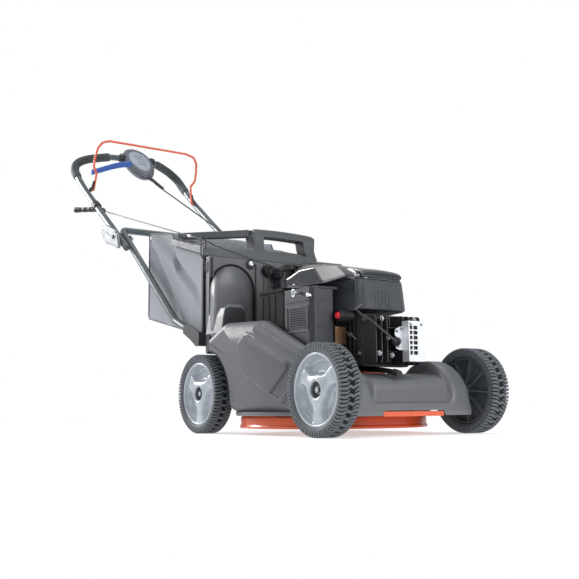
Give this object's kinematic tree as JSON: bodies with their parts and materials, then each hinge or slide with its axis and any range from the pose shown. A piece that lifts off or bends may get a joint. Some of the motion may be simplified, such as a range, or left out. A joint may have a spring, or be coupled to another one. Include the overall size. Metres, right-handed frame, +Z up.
{
  "type": "walk-behind lawn mower",
  "caption": "Walk-behind petrol lawn mower with round blade housing, side duct to a rear fabric catcher, and a folding handle with a safety bail.",
  "frame": {"origin": "on the ground at the middle of the footprint's length and width", "axes": "+X forward, +Y to the operator's left, +Z up"},
  "size_m": [1.6809, 0.51, 1.0529],
  "materials": {
    "deck_paint": "satin orange powder coat",
    "cover_plastic": "moulded grey plastic, fine grain",
    "silver_plastic": "silver-grey moulded plastic",
    "tyre_rubber": "moulded chevron tread",
    "rim_plastic": "dark grey moulded plastic",
    "control_plastic": "dark grey moulded plastic",
    "gloss_black": "polished black plastic",
    "shroud_plastic": "dark grey plastic",
    "engine_casting": "black painted casting",
    "black_plastic": "black moulded plastic",
    "bright_steel": "bright sheet steel",
    "plain_steel": "ground steel",
    "black_steel": "black paint",
    "tube_paint": "dark grey powder coat",
    "foam_grip": "closed-cell foam",
    "bail_paint": "orange powder coat",
    "lever_blue": "blue moulded plastic",
    "clamp_plastic": "grey moulded plastic",
    "bag_fabric": "woven polyester",
    "box_plastic": "slate grey plastic",
    "primer_red": "soft red rubber",
    "carburettor_metal": "cast metal, brown tinted",
    "cable_black": "black jacket"
  },
  "bodies": {
    "chassis": {"deck_shell": "deck_paint", "deck_cover": "cover_plastic", "side_duct": "cover_plastic", "duct_tower": "cover_plastic", "rear_bulkhead": "cover_plastic", "left_rear_cover": "cover_plastic", "crankcase": "engine_casting", "cylinder_head": "engine_casting", "blower_housing": "shroud_plastic", "engine_top_cover": "gloss_black", "muffler": "bright_steel", "muffler_guard": "bright_steel", "spark_plug_boot": "cable_black", "ignition_lead": "cable_black", "carburettor": "carburettor_metal", "air_filter_box": "box_plastic", "primer_housing": "black_plastic", "battery": "black_plastic", "oil_drain_tube": "black_plastic", "gearbox": "engine_casting", "handle_bracket_left": "black_steel", "handle_bracket_right": "black_steel", "lower_handle": "tube_paint", "starter_rope": "cable_black", "rope_hook": "bright_steel", "drive_cable": "cable_black"},
    "cutter": {"crankshaft": "plain_steel", "blade_holder": "black_steel", "blade": "plain_steel"},
    "primer": {"primer_bulb": "primer_red"},
    "filler_cap": {"fuel_cap": "black_plastic"},
    "key": {"ignition_key": "bright_steel"},
    "front_axle_body": {"front_axle": "plain_steel"},
    "rear_axle_body": {"rear_axle": "plain_steel", "height_lever": "control_plastic"},
    "wheel_front_left": {"tyre_front_left": "tyre_rubber", "wheel_rim_front_left": "rim_plastic", "wheel_cover_front_left": "silver_plastic"},
    "wheel_front_right": {"tyre_front_right": "tyre_rubber", "wheel_rim_front_right": "rim_plastic", "wheel_cover_front_right": "silver_plastic"},
    "wheel_rear_left": {"tyre_rear_left": "tyre_rubber", "wheel_rim_rear_left": "rim_plastic", "wheel_cover_rear_left": "silver_plastic"},
    "wheel_rear_right": {"tyre_rear_right": "tyre_rubber", "wheel_rim_rear_right": "rim_plastic", "wheel_cover_rear_right": "silver_plastic"},
    "folding_handle": {"upper_handle": "tube_paint", "grip_left": "foam_grip", "grip_right": "foam_grip", "console": "control_plastic", "rope_guide": "black_plastic"},
    "bail_body": {"bail": "bail_paint"},
    "drive_lever_body": {"drive_lever": "lever_blue"},
    "clamp_left": {"clamp_lever_left": "clamp_plastic"},
    "clamp_right": {"clamp_lever_right": "clamp_plastic"},
    "starter": {"starter_handle": "black_plastic"},
    "catcher": {"grass_bag": "bag_fabric", "bag_lid": "cover_plastic"}
  },
  "joints": [
    {"name": "blade_spin", "type": "hinge", "parent": "chassis", "child": "cutter", "pos_m": [0.4704, 0, 0.04], "axis": [0, 0, 1], "continuous": true},
    {"name": "primer_press", "type": "slide", "parent": "chassis", "child": "primer", "axis": [0, 1, 0], "range_m": [0, 0.003], "stiffness_N_per_m": 600, "springref_m": -0.002},
    {"name": "filler_cap_turn", "type": "hinge", "parent": "chassis", "child": "filler_cap", "pos_m": [0.3754, -0.07, 0.43], "axis": [0, 0, 1], "range_deg": [0, 90]},
    {"name": "key_turn", "type": "hinge", "parent": "chassis", "child": "key", "pos_m": [0.5854, -0.196, 0.34], "axis": [0, -1, 0], "range_deg": [0, 60]},
    {"name": "front_height", "type": "hinge", "parent": "chassis", "child": "front_axle_body", "pos_m": [0.6404, 0, 0.129], "axis": [0, 1, 0], "range_deg": [0, 12.5]},
    {"name": "rear_height", "type": "hinge", "parent": "chassis", "child": "rear_axle_body", "pos_m": [0.3004, 0, 0.129], "axis": [0, -1, 0], "range_deg": [0, 12.5]},
    {"name": "front_left_roll", "type": "hinge", "parent": "front_axle_body", "child": "wheel_front_left", "pos_m": [0.7354, 0.2285, 0.105], "axis": [0, 1, 0], "continuous": true},
    {"name": "front_right_roll", "type": "hinge", "parent": "front_axle_body", "child": "wheel_front_right", "pos_m": [0.7354, -0.2285, 0.105], "axis": [0, 1, 0], "continuous": true},
    {"name": "rear_left_roll", "type": "hinge", "parent": "rear_axle_body", "child": "wheel_rear_left", "pos_m": [0.2054, 0.2285, 0.105], "axis": [0, 1, 0], "continuous": true},
    {"name": "rear_right_roll", "type": "hinge", "parent": "rear_axle_body", "child": "wheel_rear_right", "pos_m": [0.2054, -0.2285, 0.105], "axis": [0, 1, 0], "continuous": true},
    {"name": "handle_fold", "type": "hinge", "parent": "chassis", "child": "folding_handle", "pos_m": [-0.3796, 0, 0.627], "axis": [0, -1, 0], "range_deg": [0, 100]},
    {"name": "bail_squeeze", "type": "hinge", "parent": "folding_handle", "child": "bail_body", "pos_m": [-0.6726, 0, 0.85], "axis": [0, -1, 0], "range_deg": [0, 24], "stiffness_Nm_per_rad": 1.5, "springref_deg": -20.05},
    {"name": "drive_lever_squeeze", "type": "hinge", "parent": "folding_handle", "child": "drive_lever_body", "pos_m": [-0.6986, -0.052, 0.968], "axis": [-0.5938, 0.4035, -0.6961], "range_deg": [0, 18], "stiffness_Nm_per_rad": 1, "springref_deg": -17.19},
    {"name": "clamp_left_open", "type": "hinge", "parent": "folding_handle", "child": "clamp_left", "pos_m": [-0.3796, 0.241, 0.627], "axis": [0, 1, 0], "range_deg": [0, 110]},
    {"name": "clamp_right_open", "type": "hinge", "parent": "folding_handle", "child": "clamp_right", "pos_m": [-0.3796, -0.241, 0.627], "axis": [0, 1, 0], "range_deg": [0, 110]},
    {"name": "starter_pull", "type": "slide", "parent": "folding_handle", "child": "starter", "axis": [-0.9574, 0.0039, 0.2887], "range_m": [0, 0.45], "stiffness_N_per_m": 20, "springref_m": -0.3},
    {"name": "catcher_lift", "type": "slide", "parent": "chassis", "child": "catcher", "axis": [0, 0, 1], "range_m": [0, 0.3]}
  ],
  "couplings": [
    {"joint": "rear_height", "follows": "front_height", "ratio": 1}
  ]
}
